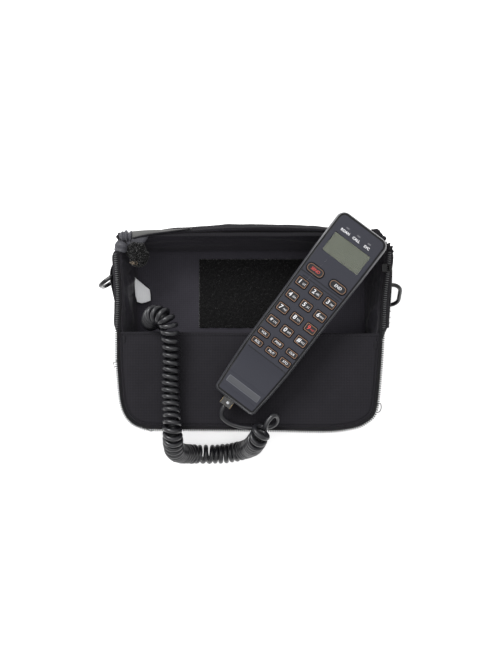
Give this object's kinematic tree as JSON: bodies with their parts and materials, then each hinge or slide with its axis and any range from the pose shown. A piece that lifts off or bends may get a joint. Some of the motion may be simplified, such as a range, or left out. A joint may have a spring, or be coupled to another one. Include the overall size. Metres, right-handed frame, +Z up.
{
  "type": "cellular bag phone",
  "caption": "Soft carrying bag lying open on its back, with a pocketed radio unit, a corded handset with keypad and display, and a curly cord",
  "frame": {"origin": "on the surface that the bag lies on, under the middle of its open rim", "axes": "+Z up out of the bag's open front, +Y towards the bag's top edge, +X to the right as the bag is looked at from the front"},
  "size_m": [0.2964, 0.2404, 0.0902],
  "materials": {
    "bag_cloth": "woven nylon",
    "webbing": "woven strap",
    "loop_pile": "looped pile",
    "label_cloth": "satin",
    "board": "matte",
    "zip_tape": "woven tape",
    "zip_teeth": "satin",
    "zip_metal": "gloss black",
    "ring_plastic": "gloss",
    "radio_case": "textured",
    "circuit_board": "satin",
    "socket_plastic": "matte",
    "screw_steel": "plated",
    "connector_metal": "plated",
    "plug_clear": "clear",
    "cord_jacket": "satin",
    "handset_plastic": "fine texture",
    "display_glass": "clear",
    "display_cell": "satin",
    "indicator": "clear",
    "keypad_rubber": "matte",
    "key_plastic": "satin"
  },
  "bodies": {
    "bag": {"bag_shell": "bag_cloth", "back_board": "board", "loop_patch": "loop_pile", "pocket_panel": "bag_cloth", "zip_tape": "zip_tape", "zip_chain": "zip_teeth", "strap_webbing": "webbing", "sewn_label": "label_cloth", "radio_case_lower": "radio_case", "radio_case_upper": "radio_case", "radio_board": "circuit_board", "radio_cord_socket": "socket_plastic", "power_inlet": "connector_metal", "antenna_socket": "connector_metal", "radio_case_screws": "screw_steel", "battery_pack": "radio_case", "radio_plug": "plug_clear", "radio_lead": "cord_jacket", "cord_coil": "cord_jacket", "handset_lead": "cord_jacket"},
    "lid_strip": {"lid_strip": "bag_cloth"},
    "lid_panel": {"lid_panel": "bag_cloth", "lid_zip_chain": "zip_teeth"},
    "d_ring_left": {"d_ring_left": "ring_plastic"},
    "d_ring_right": {"d_ring_right": "ring_plastic"},
    "zip_slider": {"zip_slider": "zip_metal"},
    "zip_pull": {"zip_pull": "zip_metal"},
    "handset": {"handset_front_shell": "handset_plastic", "handset_rear_shell": "handset_plastic", "display_window": "display_glass", "display_module": "display_cell", "indicator_lenses": "indicator", "badge_plate": "handset_plastic", "keypad_board": "circuit_board", "keypad_mat": "keypad_rubber", "earpiece_speaker": "socket_plastic", "microphone": "socket_plastic", "handset_cord_socket": "socket_plastic", "handset_screws": "screw_steel", "handset_plug": "plug_clear"},
    "key_0": {"key_0": "key_plastic"},
    "key_1": {"key_1": "key_plastic"},
    "key_2": {"key_2": "key_plastic"},
    "key_3": {"key_3": "key_plastic"},
    "key_4": {"key_4": "key_plastic"},
    "key_5": {"key_5": "key_plastic"},
    "key_6": {"key_6": "key_plastic"},
    "key_7": {"key_7": "key_plastic"},
    "key_8": {"key_8": "key_plastic"},
    "key_9": {"key_9": "key_plastic"},
    "key_clr": {"key_clr": "key_plastic"},
    "key_end": {"key_end": "key_plastic"},
    "key_hash": {"key_hash": "key_plastic"},
    "key_mute": {"key_mute": "key_plastic"},
    "key_pwr": {"key_pwr": "key_plastic"},
    "key_rcl": {"key_rcl": "key_plastic"},
    "key_send": {"key_send": "key_plastic"},
    "key_star": {"key_star": "key_plastic"},
    "key_sto": {"key_sto": "key_plastic"},
    "key_vol": {"key_vol": "key_plastic"}
  },
  "joints": [
    {"name": "lid_strip_hinge", "type": "hinge", "parent": "bag", "child": "lid_strip", "pos_m": [0, 0.09385, 0.06], "axis": [1, 0, 0], "range_deg": [0, 90]},
    {"name": "lid_panel_hinge", "type": "hinge", "parent": "lid_strip", "child": "lid_panel", "pos_m": [0, 0.09385, 0.0047], "axis": [1, 0, 0], "range_deg": [0, 180]},
    {"name": "d_ring_left_swing", "type": "hinge", "parent": "bag", "child": "d_ring_left", "pos_m": [-0.134, 0.0535, 0.035], "axis": [0, 0, 1], "range_deg": [-25, 45]},
    {"name": "d_ring_right_swing", "type": "hinge", "parent": "bag", "child": "d_ring_right", "pos_m": [0.131, 0.037, 0.03], "axis": [0, 0.6, 0.8], "range_deg": [-40, 40]},
    {"name": "zip_slide", "type": "slide", "parent": "bag", "child": "zip_slider", "axis": [0, -1, 0], "range_m": [0, 0.12]},
    {"name": "zip_pull_swing", "type": "hinge", "parent": "zip_slider", "child": "zip_pull", "pos_m": [0.1319, 0.06, 0.0619], "axis": [0, -1, 0], "range_deg": [0, 160]},
    {"name": "handset_lift", "type": "slide", "parent": "bag", "child": "handset", "axis": [0, 0, 1], "range_m": [0, 0.12]},
    {"name": "key_0_press", "type": "slide", "parent": "handset", "child": "key_0", "axis": [0, 0, -1], "range_m": [0, 0.0008], "stiffness_N_per_m": 500, "springref_m": -0.0006},
    {"name": "key_1_press", "type": "slide", "parent": "handset", "child": "key_1", "axis": [0, 0, -1], "range_m": [0, 0.0008], "stiffness_N_per_m": 500, "springref_m": -0.0006},
    {"name": "key_2_press", "type": "slide", "parent": "handset", "child": "key_2", "axis": [0, 0, -1], "range_m": [0, 0.0008], "stiffness_N_per_m": 500, "springref_m": -0.0006},
    {"name": "key_3_press", "type": "slide", "parent": "handset", "child": "key_3", "axis": [0, 0, -1], "range_m": [0, 0.0008], "stiffness_N_per_m": 500, "springref_m": -0.0006},
    {"name": "key_4_press", "type": "slide", "parent": "handset", "child": "key_4", "axis": [0, 0, -1], "range_m": [0, 0.0008], "stiffness_N_per_m": 500, "springref_m": -0.0006},
    {"name": "key_5_press", "type": "slide", "parent": "handset", "child": "key_5", "axis": [0, 0, -1], "range_m": [0, 0.0008], "stiffness_N_per_m": 500, "springref_m": -0.0006},
    {"name": "key_6_press", "type": "slide", "parent": "handset", "child": "key_6", "axis": [0, 0, -1], "range_m": [0, 0.0008], "stiffness_N_per_m": 500, "springref_m": -0.0006},
    {"name": "key_7_press", "type": "slide", "parent": "handset", "child": "key_7", "axis": [0, 0, -1], "range_m": [0, 0.0008], "stiffness_N_per_m": 500, "springref_m": -0.0006},
    {"name": "key_8_press", "type": "slide", "parent": "handset", "child": "key_8", "axis": [0, 0, -1], "range_m": [0, 0.0008], "stiffness_N_per_m": 500, "springref_m": -0.0006},
    {"name": "key_9_press", "type": "slide", "parent": "handset", "child": "key_9", "axis": [0, 0, -1], "range_m": [0, 0.0008], "stiffness_N_per_m": 500, "springref_m": -0.0006},
    {"name": "key_clr_press", "type": "slide", "parent": "handset", "child": "key_clr", "axis": [0, 0, -1], "range_m": [0, 0.0008], "stiffness_N_per_m": 500, "springref_m": -0.0006},
    {"name": "key_end_press", "type": "slide", "parent": "handset", "child": "key_end", "axis": [0, 0, -1], "range_m": [0, 0.0008], "stiffness_N_per_m": 500, "springref_m": -0.0006},
    {"name": "key_hash_press", "type": "slide", "parent": "handset", "child": "key_hash", "axis": [0, 0, -1], "range_m": [0, 0.0008], "stiffness_N_per_m": 500, "springref_m": -0.0006},
    {"name": "key_mute_press", "type": "slide", "parent": "handset", "child": "key_mute", "axis": [0, 0, -1], "range_m": [0, 0.0008], "stiffness_N_per_m": 500, "springref_m": -0.0006},
    {"name": "key_pwr_press", "type": "slide", "parent": "handset", "child": "key_pwr", "axis": [0, 0, -1], "range_m": [0, 0.0008], "stiffness_N_per_m": 500, "springref_m": -0.0006},
    {"name": "key_rcl_press", "type": "slide", "parent": "handset", "child": "key_rcl", "axis": [0, 0, -1], "range_m": [0, 0.0008], "stiffness_N_per_m": 500, "springref_m": -0.0006},
    {"name": "key_send_press", "type": "slide", "parent": "handset", "child": "key_send", "axis": [0, 0, -1], "range_m": [0, 0.0008], "stiffness_N_per_m": 500, "springref_m": -0.0006},
    {"name": "key_star_press", "type": "slide", "parent": "handset", "child": "key_star", "axis": [0, 0, -1], "range_m": [0, 0.0008], "stiffness_N_per_m": 500, "springref_m": -0.0006},
    {"name": "key_sto_press", "type": "slide", "parent": "handset", "child": "key_sto", "axis": [0, 0, -1], "range_m": [0, 0.0008], "stiffness_N_per_m": 500, "springref_m": -0.0006},
    {"name": "key_vol_press", "type": "slide", "parent": "handset", "child": "key_vol", "axis": [0, 0, -1], "range_m": [0, 0.0008], "stiffness_N_per_m": 500, "springref_m": -0.0006}
  ]
}
